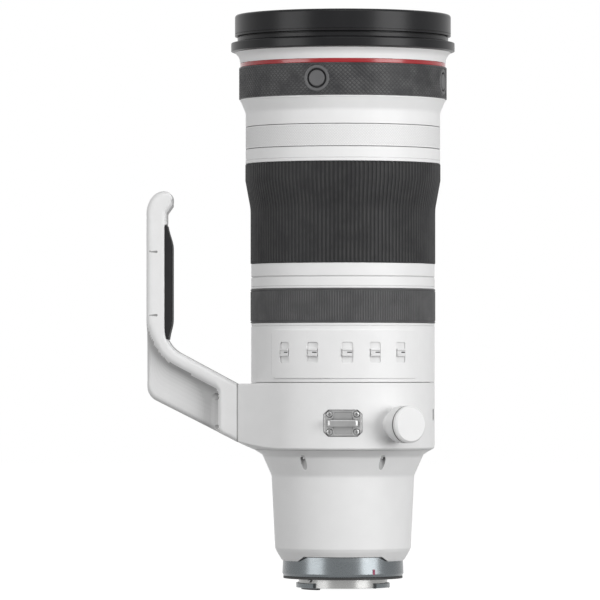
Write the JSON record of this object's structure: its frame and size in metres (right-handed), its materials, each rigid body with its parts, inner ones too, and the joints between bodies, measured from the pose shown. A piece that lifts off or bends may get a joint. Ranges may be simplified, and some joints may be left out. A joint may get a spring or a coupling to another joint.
{
  "type": "camera zoom lens",
  "caption": "Large telephoto zoom lens with ribbed zoom grip, focus and control rings, slide switches, rotating tripod collar with lock knob and hooked foot, and a bayonet mount.",
  "frame": {"origin": "centre of the mount flange face", "axes": "+Z along the optical axis to the front, the foot to -X, the switches to -Y"},
  "size_m": [0.1774, 0.129, 0.3309],
  "materials": {
    "white_paint": "fine satin heat-shield paint",
    "white_shell": "fine satin heat-shield paint",
    "white_control_grip": "satin paint over a fine diamond knurl",
    "black_gloss": "semi-gloss black paint",
    "dark_knurl": "dark grey with a fine diamond knurl",
    "red_paint": "glossy red ring",
    "grip_rubber": "ribbed, matt",
    "focus_rubber": "fine ribs, matt",
    "pad_rubber": "soft matt",
    "gasket_rubber": "smooth",
    "button_rubber": "matt",
    "switch_plastic": "moulded, fine grain",
    "panel_paint": "satin paint",
    "mount_chrome": "bright nickel over brass",
    "steel": "satin",
    "screw_dark": "blackened",
    "black_anodised": "matt black",
    "black_moulded": "fine matt moulding",
    "contact_plastic": "moulded",
    "contact_gold": "gold plated",
    "board": "solder mask",
    "coated_glass": "coated optical glass"
  },
  "bodies": {
    "barrel": {"mount_ring": "mount_chrome", "mount_gasket": "gasket_rubber", "mount_screws": "steel", "contact_block": "contact_plastic", "contact_pins": "contact_gold", "rear_baffle": "black_anodised", "rear_barrel": "white_paint", "rear_barrel_screws": "screw_dark", "rear_inner_barrel": "black_anodised", "rear_lens": "coated_glass", "circuit_board": "board", "focus_guide_rods": "steel", "stabiliser_housing": "black_moulded", "iris_housing": "black_moulded", "iris_blades": "screw_dark", "main_barrel": "white_paint", "guide_barrel": "black_anodised", "middle_barrel": "white_shell", "front_barrel": "white_paint", "front_skirt": "white_shell", "control_barrel": "white_shell", "button_ring": "dark_knurl", "red_band": "red_paint", "front_ring": "black_gloss", "front_cell": "black_anodised", "front_lens": "coated_glass", "front_retaining_ring": "black_anodised", "switch_panel": "panel_paint"},
    "zoom_grip": {"zoom_ring": "black_moulded", "zoom_rubber": "grip_rubber", "zoom_key": "steel", "cam_barrel": "black_anodised"},
    "zoom_group": {"zoom_cell": "black_anodised", "zoom_lens": "coated_glass", "zoom_followers": "steel"},
    "focus_grip": {"focus_ring": "black_moulded", "focus_rubber": "focus_rubber"},
    "focus_group": {"focus_cell": "black_moulded", "focus_lens": "coated_glass"},
    "control_grip": {"control_ring": "white_control_grip"},
    "stabiliser_frame": {"stabiliser_carrier": "black_moulded"},
    "stabiliser_group": {"stabiliser_cell": "black_moulded", "stabiliser_lens": "coated_glass"},
    "collar": {"tripod_collar": "white_paint", "strap_lugs": "steel", "strap_lug_screws": "steel", "tripod_foot": "white_paint", "foot_grip_pad": "pad_rubber", "foot_screws": "screw_dark", "tripod_thread_inserts": "steel"},
    "lock": {"lock_knob": "white_paint"},
    "button_1": {"function_button_1": "button_rubber"},
    "button_2": {"function_button_2": "button_rubber"},
    "button_3": {"function_button_3": "button_rubber"},
    "button_4": {"function_button_4": "button_rubber"},
    "slider_1": {"switch_1": "switch_plastic"},
    "slider_2": {"switch_2": "switch_plastic"},
    "slider_3": {"switch_3": "switch_plastic"},
    "slider_4": {"switch_4": "switch_plastic"},
    "slider_5": {"switch_5": "switch_plastic"}
  },
  "joints": [
    {"name": "zoom", "type": "hinge", "parent": "barrel", "child": "zoom_grip", "pos_m": [0, 0, 0.2156], "axis": [0, 0, 1], "range_deg": [0, 75]},
    {"name": "zoom_group_slide", "type": "slide", "parent": "barrel", "child": "zoom_group", "axis": [0, 0, 1], "range_m": [0, 0.03001]},
    {"name": "focus_turn", "type": "hinge", "parent": "barrel", "child": "focus_grip", "pos_m": [0, 0, 0.15557], "axis": [0, 0, 1], "continuous": true},
    {"name": "focus_slide", "type": "slide", "parent": "barrel", "child": "focus_group", "axis": [0, 0, 1], "range_m": [-0.011, 0.011]},
    {"name": "control_turn", "type": "hinge", "parent": "barrel", "child": "control_grip", "pos_m": [0, 0, 0.253], "axis": [0, 0, 1], "continuous": true},
    {"name": "stabiliser_x", "type": "slide", "parent": "barrel", "child": "stabiliser_frame", "axis": [1, 0, 0], "range_m": [-0.001, 0.001], "stiffness_N_per_m": 400},
    {"name": "stabiliser_y", "type": "slide", "parent": "stabiliser_frame", "child": "stabiliser_group", "axis": [0, 1, 0], "range_m": [-0.001, 0.001], "stiffness_N_per_m": 400},
    {"name": "collar_turn", "type": "hinge", "parent": "barrel", "child": "collar", "pos_m": [0, 0, 0.0928], "axis": [0, 0, 1], "continuous": true},
    {"name": "lock_turn", "type": "hinge", "parent": "collar", "child": "lock", "pos_m": [0.0292, -0.04411, 0.088], "axis": [0.5519, -0.8339, 0], "range_deg": [0, 180]},
    {"name": "button_1_press", "type": "slide", "parent": "barrel", "child": "button_1", "axis": [0.2504, 0.9681, 0], "range_m": [0, 0.0006], "stiffness_N_per_m": 1500, "springref_m": -0.0004},
    {"name": "button_2_press", "type": "slide", "parent": "barrel", "child": "button_2", "axis": [-0.9681, 0.2504, 0], "range_m": [0, 0.0006], "stiffness_N_per_m": 1500, "springref_m": -0.0004},
    {"name": "button_3_press", "type": "slide", "parent": "barrel", "child": "button_3", "axis": [-0.2504, -0.9681, 0], "range_m": [0, 0.0006], "stiffness_N_per_m": 1500, "springref_m": -0.0004},
    {"name": "button_4_press", "type": "slide", "parent": "barrel", "child": "button_4", "axis": [0.9681, -0.2504, 0], "range_m": [0, 0.0006], "stiffness_N_per_m": 1500, "springref_m": -0.0004},
    {"name": "switch_1_slide", "type": "slide", "parent": "barrel", "child": "slider_1", "axis": [0, 0, 1], "range_m": [-0.002, 0.002]},
    {"name": "switch_2_slide", "type": "slide", "parent": "barrel", "child": "slider_2", "axis": [0, 0, 1], "range_m": [-0.002, 0.002]},
    {"name": "switch_3_slide", "type": "slide", "parent": "barrel", "child": "slider_3", "axis": [0, 0, 1], "range_m": [-0.002, 0.002]},
    {"name": "switch_4_slide", "type": "slide", "parent": "barrel", "child": "slider_4", "axis": [0, 0, 1], "range_m": [-0.002, 0.002]},
    {"name": "switch_5_slide", "type": "slide", "parent": "barrel", "child": "slider_5", "axis": [0, 0, 1], "range_m": [-0.002, 0.002]}
  ],
  "couplings": [
    {"joint": "zoom_group_slide", "follows": "zoom", "m_per_rad": 0.022918}
  ]
}
